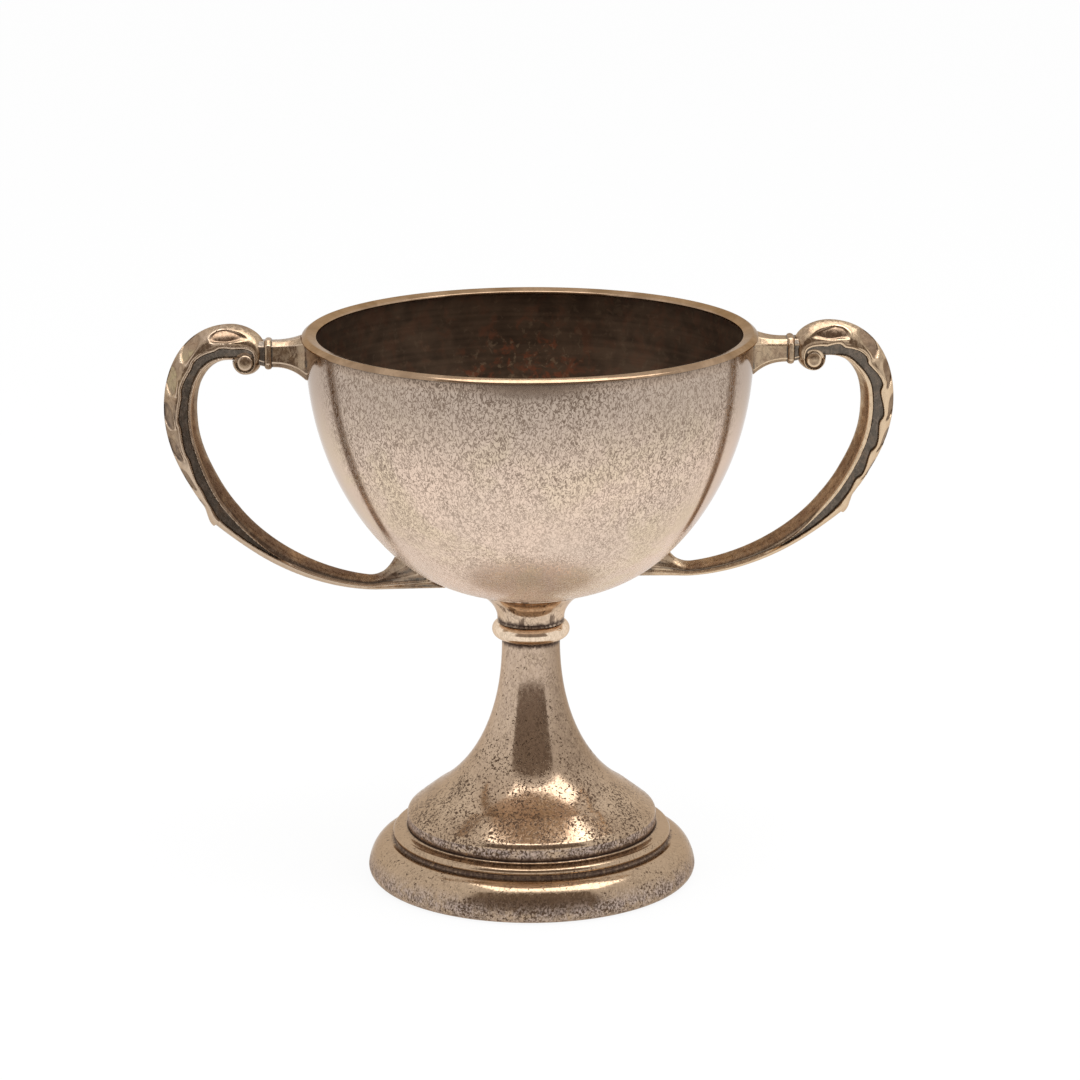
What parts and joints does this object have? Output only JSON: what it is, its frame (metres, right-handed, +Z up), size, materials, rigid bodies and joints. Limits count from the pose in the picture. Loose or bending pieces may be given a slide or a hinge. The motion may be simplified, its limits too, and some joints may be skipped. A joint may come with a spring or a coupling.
{
  "type": "trophy cup",
  "caption": "Two-handled trophy cup: deep spun bowl with an applied rim wire, cast scroll handles, flared collet, ring knop, trumpet stem and stepped round foot.",
  "frame": {"origin": "centre of the circle that the foot rests on, on the cup's axis, in the plane of the surface it stands on", "axes": "+Z up along the cup's axis, X through the two handles, Y across them"},
  "size_m": [0.1548, 0.0964, 0.1221],
  "materials": {
    "bowl": "worn silver plate, grey and champagne, with fine dark grain; dark brown tarnish inside",
    "rim_wire": "polished pale gold plate",
    "handle_left": "worn gold-coloured edges with grey-black tarnish in the hollows",
    "handle_right": "worn gold-coloured edges with grey-black tarnish in the hollows",
    "collet": "worn silver plate over a warm base metal",
    "knop": "worn plate with a dark groove above it",
    "stem": "bronze-gold worn plate with fine black pits",
    "foot": "bronze-gold worn plate, dark grooves, mottled lower edge",
    "tie_stud": "dull brass",
    "bridge_washer": "dull brass",
    "tie_nut": "dull brass"
  },
  "bodies": {
    "root": {"bowl": "bowl", "rim_wire": "rim_wire", "handle_left": "handle_left", "handle_right": "handle_right", "collet": "collet", "knop": "knop", "stem": "stem", "foot": "foot", "tie_stud": "tie_stud", "bridge_washer": "bridge_washer", "tie_nut": "tie_nut"}
  },
  "joints": []
}
